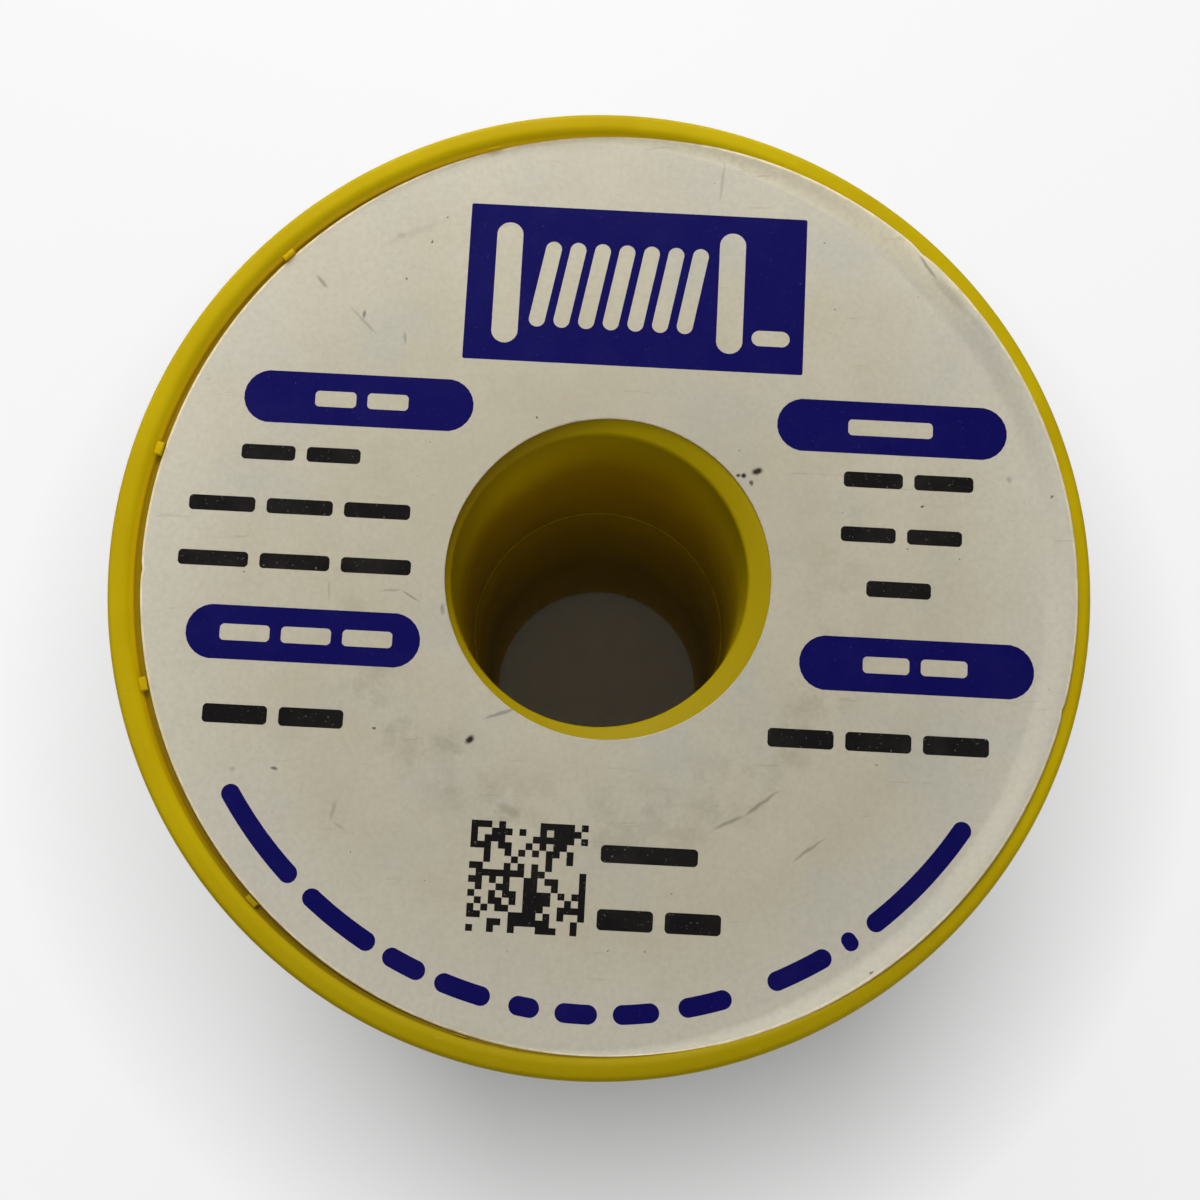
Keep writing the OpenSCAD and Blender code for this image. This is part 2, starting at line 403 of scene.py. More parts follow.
start_hole = bmesh.new()
bmesh.ops.create_cone(start_hole, cap_ends=True, segments=48, radius1=wire_r + start_gap,
                      radius2=wire_r + start_gap, depth=plate_t + 2,
                      matrix=Matrix.Translation((start_x, start_y, lip_h + plate_t / 2)))
lower = combined(lower, start_hole, "DIFFERENCE")
finished(lower, "lower_half_moulded", [plastic], "yellow_plastic", "lower_half")


# --- Inner layers of wire ---------------------------------------------------------------
# Solder wound back and forth below the outer layer. Only its uppermost layer can be glimpsed,
# so that one has its turns, and what lies under it is one packed ring.

wire_d = 2 * wire_r
barrel_gap = 0.1
inner_layers = 3
layer_step = wire_d * math.sin(math.radians(60))
outer_layer_r = barrel_r + barrel_gap + wire_r + inner_layers * layer_step
inner_layer_r = outer_layer_r - wire_d
end_gap = 0.3
first_turn_z = rim_top - flange_t - end_gap - wire_r
last_turn_z = flange_t + end_gap + wire_r
free_end_angle = 250
climb_angle = 40
tucked_angle = 20
turns = 17.4
start_phase = free_end_angle - 360 * turns

SOLDER = (168, 169, 172)
SOLDER_DULL = (128, 129, 132)
SOLDER_DARK = (84, 84, 86)
draw_line_w = 0.22 * MM
draw_line_drift = 1.6 * MM


def drawn_solder():
    """Soft grey tin-lead wire: drawing lines round the spool, dull patches and dark marks."""
    material, tree, shader, place = new_material("solder_alloy", Metallic=1.0)
    outward = add(tree, "VectorMath", {0: place, 1: (1, 1, 0)}, operation="MULTIPLY").outputs[0]
    heading = add(tree, "VectorMath", {0: outward}, operation="NORMALIZE").outputs[0]
    slow = add(tree, "VectorMath", {0: heading, "Scale": draw_line_drift},
               operation="SCALE").outputs[0]
    height = add(tree, "VectorMath", {0: place, 1: (0, 0, 1)}, operation="MULTIPLY").outputs[0]
    along = add(tree, "VectorMath", {0: slow, 1: height}, operation="ADD").outputs[0]
    radius = times(tree, from_axis(tree, place), 1 / draw_line_w)
    lines = add(tree, "TexNoise", {"Vector": along, "W": radius, "Scale": 1 / draw_line_w,
                                   "Detail": 3.0}, noise_dimensions="4D").outputs["Fac"]

    patches = remap(tree, noise(tree, place, 6, 4, 0.6), 0.38, 0.66)
    base = mixed(tree, patches, SOLDER, SOLDER_DULL)
    base = mixed(tree, remap(tree, lines, 0.55, 0.8, 0, 0.5), base, SOLDER_DULL)
    marks = remap(tree, noise(tree, place, 1.1, 5, 0.7), 0.63, 0.75, 0, 0.7)
    base = mixed(tree, marks, base, SOLDER_DARK)
    tree.links.new(base, shader.inputs["Base Color"])
    tree.links.new(remap(tree, patches, 0, 1, 0.34, 0.52), shader.inputs["Roughness"])
    scored = bump(tree, lines, 0.02, 0.6)
    dented = bump(tree, noise(tree, place, 1.6, 2), 0.05, 0.4, scored)
    tree.links.new(dented, shader.inputs["Normal"])
    return material


def drawn_wire(route, radius, detail):
    """Round wire along the points of a route in millimetres, closed at both ends."""
    curve = bpy.data.curves.new("route", "CURVE")
    curve.dimensions = "3D"
    curve.fill_mode = "FULL"
    curve.twist_mode = "Z_UP"
    curve.bevel_depth = radius
    curve.bevel_resolution = detail
    line = curve.splines.new("POLY")
    line.points.add(len(route) - 1)
    for point, spot in zip(line.points, route):
        point.co = (*spot, 1)
    holder = bpy.data.objects.new("route", curve)
    mesh = bpy.data.meshes.new_from_object(holder)
    bm = bmesh.new()
    bm.from_mesh(mesh)
    bmesh.ops.remove_doubles(bm, verts=bm.verts, dist=0.001)
    bpy.data.objects.remove(holder)
    bpy.data.curves.remove(curve)
    bpy.data.meshes.remove(mesh)
    bmesh.ops.holes_fill(bm, edges=[edge for edge in bm.edges if edge.is_boundary])
    bmesh.ops.recalc_face_normals(bm, faces=bm.faces)
    return bm


def round_axis(angle, radius, height):
    """Point at that direction and distance from the spool's axis."""
    turn = math.radians(angle)
    return Vector((radius * math.cos(turn), radius * math.sin(turn), height))


solder = drawn_solder()

inner_turns = []
inner_steps = round(turns * 48)
inner_end = start_phase - climb_angle - tucked_angle
for i in range(inner_steps + 1):
    share = i / inner_steps
    inner_turns.append(round_axis(inner_end - 360 * turns * (1 - share), inner_layer_r,
                                  last_turn_z + (first_turn_z - last_turn_z) * share))
inner = drawn_wire(inner_turns, wire_r - 0.01, 3)
packed_r = inner_layer_r - wire_r - 0.05
packed_round = 0.8
packed_low = flange_t + barrel_gap
packed_high = rim_top - flange_t - barrel_gap
packed = turned([
    (barrel_r + barrel_gap, packed_low, 0),
    (packed_r, packed_low, packed_round),
    (packed_r, packed_high, packed_round),
    (barrel_r + barrel_gap, packed_high, 0),
])
packed_mesh = bpy.data.meshes.new("packed")
packed.to_mesh(packed_mesh)
packed.free()
inner.from_mesh(packed_mesh)
bpy.data.meshes.remove(packed_mesh)
finished(inner, "solder_under_layers", [solder], "solder_alloy", "solder_inner_layers")


# --- Outer turns and free end -----------------------------------------------------------
# One length of flux-cored solder. It climbs out of the layer below at the top flange, is wound
# down turn against turn, and its cut end stands off the winding above the lower flange.

free_end_l = 18
free_end_bow = 0.7
free_end_steps = 12
turn_steps = 72
cut_slant = 0.22
cut_round = 0.14
flux_r = 0.65
pocket = 0.5


def cut_open(bm, face):
    """Makes a face the wire's cut end, with a rounded rim and the flux pocket sunk in it."""
    rim = list(face.edges)
    bmesh.ops.inset_region(bm, faces=[face], thickness=wire_r - flux_r, use_even_offset=True)
    bmesh.ops.inset_region(bm, faces=[face], thickness=0.02, depth=-pocket, use_even_offset=True)
    bmesh.ops.bevel(bm, geom=rim, affect="EDGES", offset=cut_round, offset_type="OFFSET",
                    segments=3, profile=0.5, material=-1)


def lay_wobble(angle):
    """Small unevenness of the lay, the same for turns that touch."""
    turn = math.radians(angle)
    return 0.10 * math.sin(turn + 0.4) + 0.05 * math.sin(3 * turn + 1.9)


route = []
for angle in range(-climb_angle - tucked_angle, 0, 5):
    share = min(max((angle + climb_angle) / climb_angle, 0), 1)
    eased = share * share * (3 - 2 * share)
    radius = inner_layer_r + (outer_layer_r - inner_layer_r) * eased
    route.append(round_axis(start_phase + angle, radius, first_turn_z))
outer_steps = round(turns * turn_steps)
for i in range(outer_steps + 1):
    share = i / outer_steps
    angle = start_phase + 360 * turns * share
    calm = min(1, 12 * share, 12 * (1 - share))
    height = first_turn_z + (last_turn_z - first_turn_z) * share
    swell = 0.05 * math.sin(math.radians(2 * angle))
    route.append(round_axis(angle, outer_layer_r + calm * swell,
                            height + calm * lay_wobble(angle)))
leaving = round_axis(free_end_angle + 90, 1, 0)
outward = round_axis(free_end_angle, 1, 0)
last_turn = route[-1].copy()
for i in range(1, free_end_steps + 1):
    share = i / free_end_steps
    bow = free_end_bow * share * share
    route.append(last_turn + leaving * free_end_l * share + outward * bow
                 + Vector((0, 0, 0.5 * bow)))

wire = drawn_wire(route, wire_r, 5)
end_heading = (route[-1] - route[-2]).normalized()
caps = [face for face in wire.faces if len(face.verts) > 4]
cut_open(wire, min(caps, key=lambda face: (face.calc_center_median() - route[-1]).length))
for vert in wire.verts:
    if (vert.co - route[-1]).length < 1.2 * wire_r:
        vert.co -= end_heading * (vert.co.z - route[-1].z) * cut_slant
finished(wire, "solder_wire", [solder], "solder_alloy", "solder_outer_turns", "solder_free_end")


# --- First end of the wire --------------------------------------------------------------
# The wire's other end. It was pushed down through the start hole before winding, and clipped
# off just proud of the lower recess.

stub_top = start_high.z
stub_end = start_low.z
stub_l = stub_top - stub_end
stub_steps = 6
stub = drawn_wire([Vector((start_x, start_y, stub_top - stub_l * i / stub_steps))
                   for i in range(stub_steps + 1)], wire_r, 6)
caps = [face for face in stub.faces if len(face.verts) > 4]
cut_open(stub, min(caps, key=lambda face: face.calc_center_median().z))
finished(stub, "solder_clipped_end", [solder], "solder_alloy", "solder_start_end")


# --- Flux core --------------------------------------------------------------------------
# Amber rosin that was cast into the wire's bore as it was drawn. It shows as a domed dot, a
# little sunk, in both cut ends.

ROSIN = (178, 112, 28)
ROSIN_DEEP = (120, 66, 12)


def amber_rosin():
    """Glassy amber resin, cloudy and cracked inside."""
    material, tree, shader, place = new_material("rosin_flux", Roughness=0.18, Coat_Weight=0.3)
    clouds = remap(tree, noise(tree, place, 0.35, 3), 0.35, 0.65)
    tree.links.new(mixed(tree, clouds, ROSIN, ROSIN_DEEP), shader.inputs["Base Color"])
    crazing = bump(tree, noise(tree, place, 0.2, 3), 0.03, 0.6)
    tree.links.new(crazing, shader.inputs["Normal"])
    return material


rosin_plugs = bmesh.new()
plug_r = flux_r - 0.03
plug_round = 0.12
plug_l = pocket - plug_round
plug_depth = pocket - plug_l / 2 + 0.01
free_tip = route[-1] - end_heading * plug_depth
stub_tip = Vector((start_x, start_y, stub_end + plug_depth))
for middle, heading in ((free_tip, end_heading), (stub_tip, Vector((0, 0, -1)))):
    aim = heading.to_track_quat("Z", "Y").to_matrix().to_4x4()
    plug = bmesh.ops.create_cone(rosin_plugs, cap_ends=True, segments=28, radius1=plug_r,
                                 radius2=plug_r, depth=plug_l,
                                 matrix=Matrix.Translation(middle) @ aim)["verts"]
    dome = {e for v in plug for e in v.link_edges
            if all((w.co - middle).dot(heading) > 0 for w in e.verts)}
    bmesh.ops.bevel(rosin_plugs, geom=list(dome), affect="EDGES", offset=plug_round,
                    offset_type="OFFSET", segments=3, profile=0.5, material=-1)
finished(rosin_plugs, "rosin_core_ends", [amber_rosin()], "rosin_flux", "flux_core")


# --- Label ------------------------------------------------------------------------------
# A round of printed self-adhesive paper, stuck slightly off centre and turned by hand, so its
# margin climbs the rim on one side. Navy panels carry white bars and a plain reel sign, and
# black bars and a block of dots stand where a maker's data would be printed.

paper_t = 0.12
face_z = label_low.z + paper_t
label_turn = -3
hole_r = 10.85
curl_w = 1.4
curl_shift = 1
climb_r = land_r - curl_w + curl_shift
margin_steps = 10
round_steps = 360
cut_edge_w = 0.14
hole_edge_w = 0.06

PAPER = (206, 199, 178)
PAPER_WARM = (201, 193, 170)
PAPER_COOL = (192, 191, 181)
PAPER_AGED_AND_SHADE = (176, 167, 142)
PAPER_SOILED = (146, 139, 116)
PAPER_PALE = (220, 215, 200)
PAPER_CLIMB_LIGHT = (244, 234, 204)
PAPER_CUT = (250, 238, 204)
PAPER_CUT_WORN = (224, 211, 180)
STAIN_AND_CREASE_SHADE = (42, 37, 28)
NAVY = (10, 6, 84)
NAVY_WORN = (26, 20, 92)
BLACK = (15, 12, 12)
BLACK_WORN = (44, 40, 38)

PAPER_SLOT, NAVY_SLOT, BLACK_SLOT, EDGE_SLOT = range(4)


# Marks of handling and storage, and the painted shade along the crease: x, y, length and width in
# millimetres, direction in degrees, and how dark each is
marks = [
    (10.6, 7.2, 0.9, 0.5, 14, 1), (9.3, 6.9, 0.35, 0.3, 0, 0.9), (9.7, 6.9, 0.45, 0.4, 0, 1),
    (10.2, 6.4, 0.3, 0.5, 0, 0.8), (-8.5, -10.8, 0.8, 0.55, 36, 1), (27.5, 6.6, 0.4, 0.5, 0, 0.3),
    (-18.9, 20.5, 1.3, 0.3, -51, 0.4), (-16.0, 17.7, 2.8, 0.25, -46, 0.25),
    (-16.0, 18.2, 0.25, 0.7, 0, 0.6), (-13.2, 16.5, 0.25, 1.1, 0, 0.3),
    (-13.5, 23.8, 0.7, 0.5, 31, 0.2), (-12.8, 24.0, 6.0, 0.6, 23, 0.08),
    (-21.2, -12.7, 0.55, 0.25, -14, 0.7),
    (-23.9, -12.7, 0.35, 0.3, 0, 0.25), (-17.3, -15.4, 0.35, 1.5, -15, 0.22),
    (-16.9, -16.4, 0.9, 0.3, -35, 0.2), (-13.8, -0.9, 1.6, 0.2, 3, 0.25),
    (-12.5, -1.3, 1.6, 0.2, -32, 0.35), (-17.9, -0.9, 0.15, 1.6, 0, 0.2),
    (8.4, -16.2, 2.6, 0.3, 24, 0.35), (10.5, -15.0, 3.2, 0.3, 35, 0.4),
    (13.5, -18.0, 2.8, 0.25, 35, 0.35), (-5.9, -15.4, 1.8, 0.7, -28, 0.22),
    (-10.0, -11.2, 2.8, 1.0, -24, 0.14), (-6.5, -9.1, 2.5, 0.3, 17, 0.4),
    (-1.8, 10.5, 1.4, 0.3, 17, 0.45), (-10.4, -2.2, 0.3, 0.9, 0, 0.35),
    # Of the marks below, the last three, along the margin at the upper right, are the crease's
    # painted shade
    (8.5, 27.7, 0.25, 3.0, -8, 0.22), (22.4, 21.3, 2.3, 0.25, -57, 0.45),
    (23.9, 19.4, 4.2, 0.75, -50, 0.2), (25.7, 17.2, 2.8, 0.5, -54, 0.12),
]


def stains_and_crease_shade(tree, place):
    """How dark the marks make each spot, from 0 to 1, with frayed outlines."""
    waver = add(tree, "TexNoise", {"Vector": place, "Scale": 1 / (0.7 * MM), "Detail": 4.0})
    shift = add(tree, "VectorMath", {0: waver.outputs["Color"], 1: (0.5, 0.5, 0.5)},
                operation="SUBTRACT").outputs[0]
    shift = add(tree, "VectorMath", {0: shift, "Scale": 0.25 * MM}, operation="SCALE").outputs[0]
    frayed = add(tree, "VectorMath", {0: place, 1: shift}, operation="ADD").outputs[0]
    darkest = 0.0
    for x, y, length, width, turn, dark in marks:
        laid = add(tree, "Mapping", {"Vector": frayed, "Location": (x * MM, y * MM, 0),
                                     "Rotation": (0, 0, math.radians(turn)),
                                     "Scale": (length / 2 * MM, width / 2 * MM, 1)},
                   vector_type="TEXTURE").outputs[0]
        away = add(tree, "VectorMath", {0: laid}, operation="LENGTH").outputs["Value"]
        patch = remap(tree, away, 1.1, 0.5, 0, dark)
        darkest = add(tree, "Math", {0: patch, 1: darkest}, operation="MAXIMUM").outputs[0]
    return darkest


def printed_paper(name, ink=None, worn=None, wear=0.0, gloss=0.5):
    """The label's paper, mottled, aged and soiled, with painted shade towards the bottom and along
    the crease and painted light where the margin climbs the rim at the back, or an ink on it whose
    worn places let the paper's tone through."""
    material, tree, shader, place = new_material(name, Specular_IOR_Level=0.05 if ink else 0.12)
    if ink:
        cover = remap(tree, noise(tree, place, 0.22, 4, 0.6), 0.64, 0.74, 0, wear)
        rub = remap(tree, noise(tree, place, 3.0, 4, 0.6), 0.45, 0.75, 0, 0.5)
        base = mixed(tree, rub, ink, worn)
        base = mixed(tree, cover, base, PAPER_WARM)
    else:
        mottle = remap(tree, noise(tree, place, 5.0, 4, 0.6), 0.36, 0.66)
        base = mixed(tree, mottle, PAPER, PAPER_WARM)
        cool = remap(tree, noise(tree, place, 8.0, 3), 0.48, 0.68, 0, 0.6)
        base = mixed(tree, cool, base, PAPER_COOL)
        height = add(tree, "SeparateXYZ", {0: place}).outputs["Y"]
        # Painted shade, partly a real yellowing: darker and yellower towards the bottom
        shade_and_yellowing = remap(tree, height, label_r * MM, -label_r * MM, 0, 0.16)
        base = mixed(tree, shade_and_yellowing, base, PAPER_AGED_AND_SHADE)
        # Paler towards the margin, more so in the lower half
        away = from_axis(tree, place)
        margin = remap(tree, away, 23 * MM, 30 * MM, 0, 0.55)
        margin = times(tree, margin, remap(tree, height, 0, 28 * MM, 1, 0.5))
        base = mixed(tree, margin, base, PAPER_PALE)
        # Painted light on the margin where it climbs the rim towards the back
        at_back = remap(tree, towards(tree, place, (0.34, 0.94, 0)), 24 * MM, 29 * MM, 0, 0.8)
        climb_painted_light = remap(tree, from_axis(tree, place, (-curl_shift, 0)), (climb_r - 0.5) * MM,
                       (climb_r + 0.1) * MM)
        base = mixed(tree, times(tree, at_back, climb_painted_light), base, PAPER_CLIMB_LIGHT)
        fibres = remap(tree, noise(tree, place, 0.35, 3), 0.35, 0.75, 0, 0.16)
        base = mixed(tree, fibres, base, PAPER_SOILED)
        inside = remap(tree, away, 12.5 * MM, 15.5 * MM)
        outside = remap(tree, away, 17.5 * MM, 19.5 * MM, 1, 0)
        fingered = remap(tree, away, 21 * MM, 12 * MM, 0, 0.3)
        fingered = times(tree, fingered, remap(tree, height, -10 * MM, 8 * MM))
        base = mixed(tree, fingered, base, PAPER_AGED_AND_SHADE)
        lower = remap(tree, height, 8 * MM, -6 * MM, 0.25, 1)
        patch = remap(tree, noise(tree, place, 2.6, 6, 0.7), 0.47, 0.70, 0, 0.44)
        base = mixed(tree, times(tree, inside, outside, lower, patch), base, PAPER_SOILED)
        smears = add(tree, "Mapping", {"Vector": place, "Rotation": (0, 0, 0.9),
                                       "Scale": (1, 9, 1)}).outputs[0]
        scratch = remap(tree, noise(tree, smears, 4.0, 5, 0.6), 0.66, 0.74, 0, 0.3)
        base = mixed(tree, scratch, base, PAPER_SOILED)
        specks = remap(tree, noise(tree, place, 0.55, 1), 0.80, 0.83, 0, 0.8)
        base = mixed(tree, specks, base, SPECK)
        base = mixed(tree, stains_and_crease_shade(tree, place), base, STAIN_AND_CREASE_SHADE)
    tree.links.new(base, shader.inputs["Base Color"])
    sheen = remap(tree, noise(tree, place, 2.0, 3), 0.3, 0.7, gloss, gloss + 0.16)
    tree.links.new(sheen, shader.inputs["Roughness"])
    tooth = bump(tree, noise(tree, place, 0.2, 3), 0.004, 0.5)
    cockle = bump(tree, noise(tree, place, 6.0, 2), 0.05, 0.5, tooth)
    tree.links.new(cockle, shader.inputs["Normal"])
    return material


def cut_paper():
    """Pale raw edge of the paper."""
    material, tree, shader, place = new_material("label_cut_edge", Roughness=0.8,
                                                 Specular_IOR_Level=0.1)
    frayed = remap(tree, noise(tree, place, 0.8, 4), 0.35, 0.7)
    tree.links.new(mixed(tree, frayed, PAPER_CUT, PAPER_CUT_WORN), shader.inputs["Base Color"])
    return material


def edges_of(verts):
    """Outline edges that join these vertices."""
    chosen = set(verts)
    return [e for e in {e for v in verts for e in v.link_edges} if set(e.verts) <= chosen]


def rounded_bar(bm, x, y, width, height, rounding=None, turn=0.0):
    """Outline of a bar with rounded corners, by its middle and its size. Returns its edges."""
    radius = min(width, height) / 2 if rounding is None else rounding
    half_step = Matrix.Rotation(math.tau / 48, 4, "Z")
    verts = bmesh.ops.create_circle(bm, segments=24, radius=radius, matrix=half_step)["verts"]
    for vert in verts:
        vert.co.x += math.copysign(width / 2 - radius, vert.co.x)
        vert.co.y += math.copysign(height / 2 - radius, vert.co.y)
    place = Matrix.Translation((x, y, 0)) @ Matrix.Rotation(math.radians(turn), 4, "Z")
    bmesh.ops.transform(bm, matrix=place, verts=verts)
    return edges_of(verts)


def arc_bar(bm, radius, first, last, height):
    """Outline of a bar bent round the label's middle, from one direction to another."""
    middle = math.radians((first + last) / 2)
    length = radius * math.radians(last - first)
    edges = rounded_bar(bm, 0, 0, length, height)
    long_sides = [e for e in edges if e.calc_length() > height]
    cuts = max(1, round(length / 0.8))
    bmesh.ops.subdivide_edges(bm, edges=long_sides, cuts=cuts)
    seen = {v for e in edges for v in e.verts}
    grown = True
    while grown:
        more = {w for v in seen for e in v.link_edges for w in e.verts}
        grown = len(more) > len(seen)
        seen |= more
    for vert in seen:
        away = radius - vert.co.y
        direction = middle + vert.co.x / radius
        vert.co.xy = (away * math.cos(direction), away * math.sin(direction))
    return edges_of(seen)


def fill(bm, edges, slot):
    """Fills what lies inside an odd number of the outlines with one material."""
    made = bmesh.ops.triangle_fill(bm, use_beauty=True, edges=edges, normal=(0, 0, 1))["geom"]
    for item in made:
        if isinstance(item, bmesh.types.BMFace):
            item.material_index = slot


word_gap = 0.75
bar_round = 0.3


def word_bars(x, y, width, words, height):
    """Middle and width of the bars that stand for a line of words, as long as the line."""
    share = (width - (words - 1) * word_gap) / words
    left = x - width / 2
    return [(left + share / 2 + k * (share + word_gap), y, share, height) for k in range(words)]


# Navy panels with round ends: x, y, and the line of white bars in each as x, width, words
pill_w, pill_h = 15.5, 3.65
pills = [
    (-17.4, 11.2, -17.2, 6.3, 2),
    (18.6, 11.1, 18.5, 5.7, 1),
    (-19.9, -5.0, -19.7, 11.4, 3),
    (20.6, -5.0, 20.5, 6.9, 2),
]
white_bar_h = 1.1

# Black bars as x, y, width, height of the line of print
black_lines = [
    (-21.0, 7.3, 8.0, 2.0),
    (-20.8, 3.65, 14.8, 2.0),
    (-20.85, -0.1, 15.5, 2.0),
    (-21.45, -10.4, 9.25, 2.4),
    (19.8, 7.5, 8.7, 2.05),
    (19.4, 3.75, 8.1, 2.0),
    (19.3, 0.1, 4.3, 2.1),
    (18.2, -10.1, 14.5, 2.4),
    (3.6, -18.2, 6.3, 2.2),
    (4.4, -22.4, 8.0, 2.6),
]
line_fill = 0.52

# Navy bars round the bottom, as first and last direction
arc_r = 28.4
arc_h = 1.25
arc_words = [(-148, -132.5), (-130.5, -119), (-117.5, -111.5), (-110, -102.5), (-100, -96),
             (-94, -88.5), (-86.5, -80.5), (-78, -71), (-66, -57), (-55, -53), (-51, -32)]

label = bmesh.new()
outer_outlines = []

for x, y, line_x, line_w, words in pills:
    outline = rounded_bar(label, x, y, pill_w, pill_h)
    bars = [rounded_bar(label, *bar, rounding=bar_round)
            for bar in word_bars(line_x, y, line_w, words, white_bar_h)]
    fill(label, outline + [edge for bar in bars for edge in bar], NAVY_SLOT)
    for bar in bars:
        fill(label, bar, PAPER_SLOT)
    outer_outlines += outline

# The sign on the large panel: a reel seen from the side, two flanges with slanted turns
# between them and the wire's end running off
panel_x, panel_w, panel_h = 0.9, 23.1, 11.1
sign_y = 20.1
flange_stroke, flange_h = 1.8, 8.6
stroke = 1.1
turn_l, turn_lean = 6.2, 80
first_turn_x, turn_pitch = -5.3, 1.68
tail_x, tail_y, tail_l = 10.2, 17.0, 2.6

panel = rounded_bar(label, panel_x, sign_y, panel_w, panel_h, rounding=0.15)
sign = [rounded_bar(label, x, sign_y, flange_stroke, flange_h) for x in (-7.9, 7.4)]
for k in range(7):
    turn_x = first_turn_x + turn_pitch * k
    sign.append(rounded_bar(label, turn_x, sign_y, turn_l, stroke, turn=turn_lean))
sign.append(rounded_bar(label, tail_x, tail_y, tail_l, stroke))
fill(label, panel + [edge for outline in sign for edge in outline], NAVY_SLOT)
for outline in sign:
    fill(label, outline, PAPER_SLOT)
outer_outlines += panel

for x, y, width, height in black_lines:
    words = 1 if width < 7 else 2 if width < 12 else 3
    for bar in word_bars(x, y, width, words, height * line_fill):
        outline = rounded_bar(label, *bar, rounding=bar_round)
        fill(label, outline, BLACK_SLOT)
        outer_outlines += outline

for first, last in arc_words:
    outline = arc_bar(label, arc_r, first, last, arc_h)
    fill(label, outline, NAVY_SLOT)
    outer_outlines += outline

# Block of dots: a grid whose cells are black or bare by a fixed draw
draw = random.Random(11)
columns, rows = 17, 16
block_x, block_y = -4.2, -20.0
block_w, block_h = 7.6, 7.1
block_size = Matrix.Diagonal((block_w, block_h, 1, 1))
block_place = Matrix.Translation((block_x, block_y, 0)) @ block_size
grid = bmesh.ops.create_grid(label, x_segments=columns, y_segments=rows, size=0.5,
                             matrix=block_place)["verts"]
cells = {f for v in grid for f in v.link_faces}
for cell in sorted(cells, key=lambda f: (f.calc_center_median().y, f.calc_center_median().x)):
    cell.material_index = BLACK_SLOT if draw.random() < 0.5 else PAPER_SLOT
outer_outlines += [e for e in {e for f in cells for e in f.edges} if len(e.link_faces) == 1]

bmesh.ops.rotate(label, verts=label.verts, cent=(0, 0, 0),
                 matrix=Matrix.Rotation(math.radians(label_turn), 3, "Z"))

# The flat part ends where the climb starts, and the margin is drawn out from there in rings
hole = bmesh.ops.create_circle(label, segments=120, radius=hole_r + hole_edge_w)["verts"]
margin = bmesh.ops.create_circle(label, segments=round_steps, radius=label_r)["verts"]


def climb_start(direction):
    """Distance from the climb's axis at which the margin starts to lift, which it does a little
    early, and earlier still round the crease."""
    crumpled = math.exp(-((math.degrees(direction) - 42) / 14) ** 2)
    return climb_r - 0.3 - 0.4 * crumpled


def flat_end(direction):
    """How far the flat part reaches from the label's middle in that direction."""
    off = curl_shift + label_x
    across = off * math.sin(direction)
    start = climb_start(direction)
    return min(-off * math.cos(direction) + math.sqrt(start ** 2 - across ** 2), label_r - 0.4)


for vert in margin:
    direction = math.atan2(vert.co.y, vert.co.x)
    vert.co.xy = Vector((math.cos(direction), math.sin(direction))) * flat_end(direction)
ring = edges_of(margin)
fill(label, ring + edges_of(hole) + outer_outlines, PAPER_SLOT)
for item in bmesh.ops.extrude_edge_only(label, edges=edges_of(hole))["geom"]:
    if isinstance(item, bmesh.types.BMVert):
        item.co.xy = item.co.xy.normalized() * hole_r

# Small tears in the outline: direction, depth, spread in degrees
nicks = [(46.0, 0.12, 1.0), (179, 0.10, 0.8), (-17, 0.10, 0.7)]


def torn(direction):
    """How far the outline is drawn in at that direction."""
    degrees = math.degrees(direction)
    return sum(depth * math.exp(-((degrees - middle) / spread) ** 2)
               for middle, depth, spread in nicks)


for k in range(1, margin_steps + 2):
    grown = bmesh.ops.extrude_edge_only(label, edges=ring)["geom"]
    verts = [item for item in grown if isinstance(item, bmesh.types.BMVert)]
    strip = [item for item in grown if isinstance(item, bmesh.types.BMFace)]
    share = min(k / margin_steps, 1)
    for vert in verts:
        direction = math.atan2(vert.co.y, vert.co.x)
        inner = flat_end(direction)
        outer = label_r - cut_edge_w - torn(direction)
        reach = inner + (outer - inner) * share if k <= margin_steps else outer + cut_edge_w
        vert.co.xy = Vector((math.cos(direction), math.sin(direction))) * reach
    for face in strip:
        face.material_index = EDGE_SLOT if k > margin_steps else PAPER_SLOT
    ring = edges_of(verts)

# The margin is creased where it was thumbed down at the upper right
crease_middle, crease_spread = 43.5, 3
crease_depth, crease_w = 0.05, 0.8

bmesh.ops.translate(label, verts=label.verts, vec=(label_x, 0, 0))
for vert in label.verts:
    away = math.hypot(vert.co.x + curl_shift, vert.co.y)
    direction = math.atan2(vert.co.y, vert.co.x - label_x)
    start = climb_start(direction)
    climb = min(max((away - start) / (climb_r + curl_w - start), 0), 1)
    climb = lip_h * climb * climb * (3 - 2 * climb)
    from_edge = label_r - math.hypot(vert.co.x - label_x, vert.co.y)
    fold = math.exp(-((math.degrees(direction) - crease_middle) / crease_spread) ** 2)
    fold *= crease_depth * math.cos(min(from_edge / crease_w, 1) * math.pi)
    vert.co.z = face_z + climb - (fold if climb > 0.05 else 0)
for face in label.faces:
    face.normal_update()
    if face.normal.z < 0:
        face.normal_flip()

paper = printed_paper("label_paper")
navy_ink = printed_paper("label_navy_ink", NAVY, NAVY_WORN, 0.05, 0.4)
black_ink = printed_paper("label_black_ink", BLACK, BLACK_WORN, 0.35, 0.45)
sheet = finished(label, "printed_label", [paper, navy_ink, black_ink, cut_paper()], "label_paper",
                 "front_label")
thickness = sheet.modifiers.new("thickness", "SOLIDIFY")
thickness.thickness = paper_t * MM
thickness.offset = -1
thickness.use_even_offset = True
thickness.material_offset = -EDGE_SLOT
thickness.material_offset_rim = EDGE_SLOT


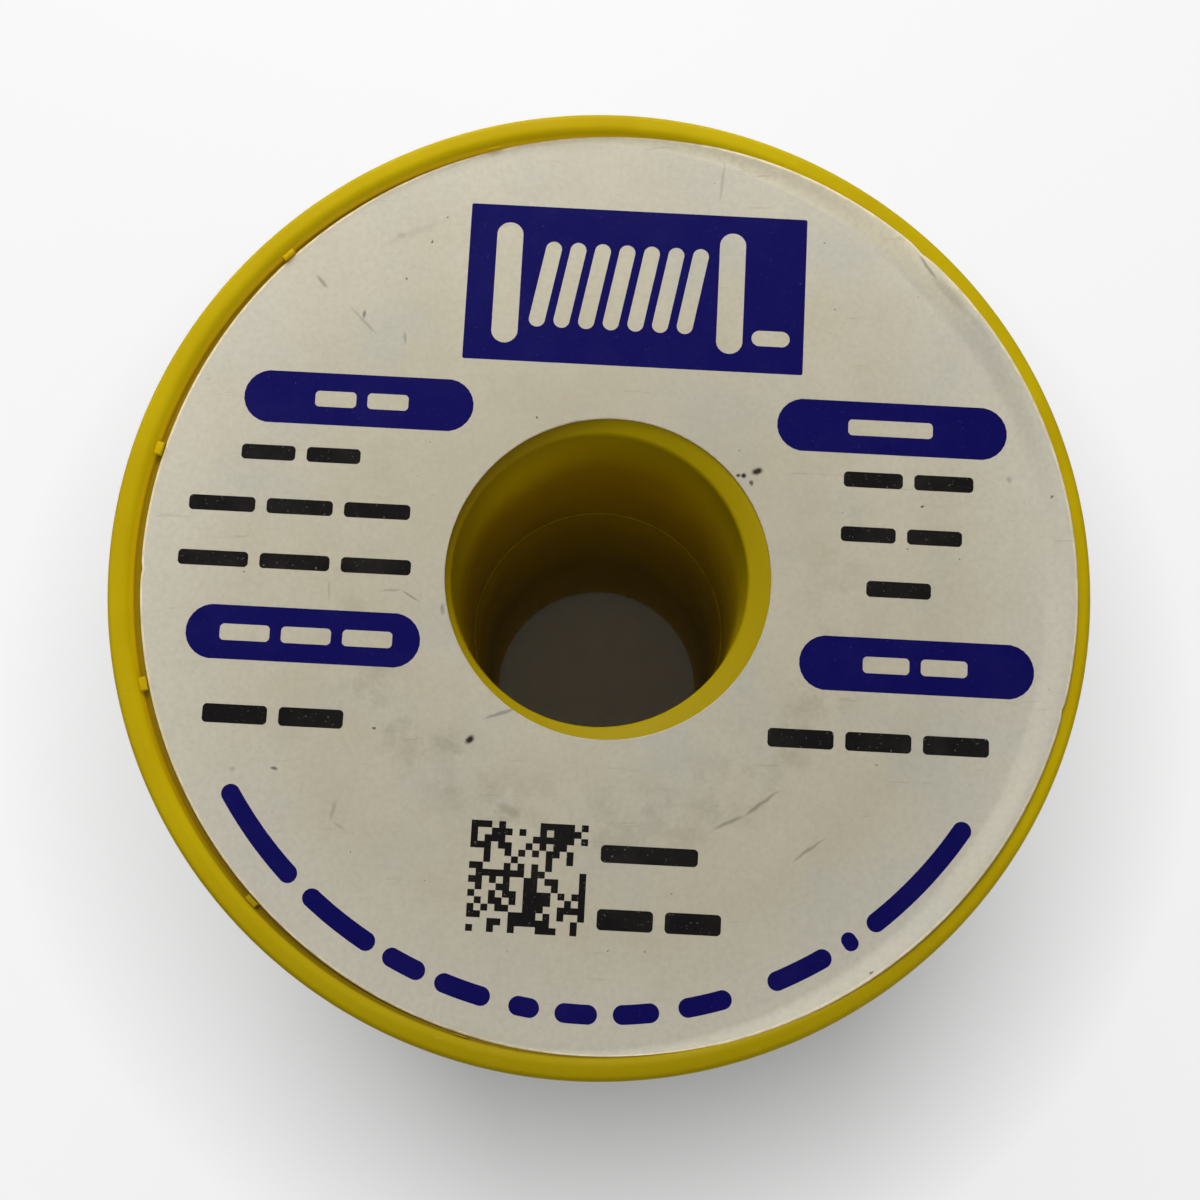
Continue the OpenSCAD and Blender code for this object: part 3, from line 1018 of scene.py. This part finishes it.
# --- Floor, light and camera ------------------------------------------------------------
# The spool stands on a matt white sheet under four soft square lamps, in a pale room, and is
# looked down on from in front.

FLOOR = (242, 242, 242)
light_top = Vector((0, 0, rim_top)) * MM


def looked_at(tree):
    """1 where a surface is seen by the camera or in a reflection, 0 where it only gives light."""
    path = add(tree, "LightPath").outputs
    seen = add(tree, "Math", {0: path["Is Camera Ray"], 1: path["Is Glossy Ray"]},
               operation="MAXIMUM").outputs[0]
    return add(tree, "Math", {0: seen, 1: path["Is Transmission Ray"]},
               operation="MAXIMUM").outputs[0]


def pale_floor():
    """Matt white sheet. Away from the spool it keeps white for the camera and reflections, and
    a share of the shadow still shows."""
    material, tree, shader, place = new_material("floor", Roughness=0.9, Specular_IOR_Level=0.1)
    shader.inputs["Base Color"].default_value = colour(*FLOOR)
    axis = from_axis(tree, place)
    near = remap(tree, axis, 36 * MM, 60 * MM, 0, 0.75)
    far = remap(tree, axis, 60 * MM, 400 * MM, 0, 0.25)
    away = add(tree, "Math", {0: near, 1: far}, operation="ADD").outputs[0]
    white = add(tree, "Emission", {"Color": (1, 1, 1, 1), "Strength": 1.0}).outputs[0]
    share = times(tree, looked_at(tree), away)
    shown = add(tree, "MixShader", {0: share, 1: shader.outputs[0], 2: white})
    tree.links.new(shown.outputs[0], tree.nodes["Material Output"].inputs["Surface"])
    return material


floor_mesh = bmesh.new()
bmesh.ops.create_grid(floor_mesh, x_segments=1, y_segments=1, size=3)
floor_data = bpy.data.meshes.new("floor")
floor_mesh.to_mesh(floor_data)
floor_mesh.free()
floor_data.materials.append(pale_floor())
floor = bpy.data.objects.new("floor", floor_data)
bpy.context.collection.objects.link(floor)

world = bpy.data.worlds.new("studio")
bpy.context.scene.world = world
world.use_nodes = True
air = world.node_tree
level = remap(air, looked_at(air), 0, 1, 0.08, 1.0)
air.links.new(level, air.nodes["Background"].inputs["Strength"])
air.nodes["Background"].inputs["Color"].default_value = (1, 1, 1, 1)


def softbox(name, spot, aim, size, power):
    """Square area lamp at a spot, turned to a point, both in metres."""
    data = bpy.data.lights.new(name, "AREA")
    data.shape = "SQUARE"
    data.size = size
    data.energy = power
    lamp = bpy.data.objects.new(name, data)
    lamp.location = spot
    lamp.rotation_euler = (Vector(aim) - Vector(spot)).to_track_quat("-Z", "Y").to_euler()
    bpy.context.collection.objects.link(lamp)
    return lamp


softbox("back_key", (-0.03, 0.16, 0.18), light_top, 0.12, 0.325)
softbox("left_key", (-0.15, 0.03, 0.18), light_top, 0.12, 0.06)
softbox("overhead", (0, 0, 0.60), light_top, 0.50, 0.52)
softbox("front_fill", (0.45, -0.45, 0.25), light_top, 0.40, 1.15)

camera_data = bpy.data.cameras.new("camera")
camera_data.lens = 54
camera_data.sensor_width = 36
camera_data.clip_start = 0.01
camera = bpy.data.objects.new("camera", camera_data)
spot = Vector((-0.000565, -0.022085, 0.178768))
right = Vector((0.99999, -0.00086, 0.00493))
forward = Vector((0.0050, 0.17214, -0.98506)).normalized()
up = right.cross(forward).normalized()
camera.matrix_world = Matrix((
    (right.x, up.x, -forward.x, spot.x),
    (right.y, up.y, -forward.y, spot.y),
    (right.z, up.z, -forward.z, spot.z),
    (0, 0, 0, 1),
))
bpy.context.collection.objects.link(camera)
bpy.context.scene.camera = camera

bpy.context.scene.view_settings.view_transform = "Standard"
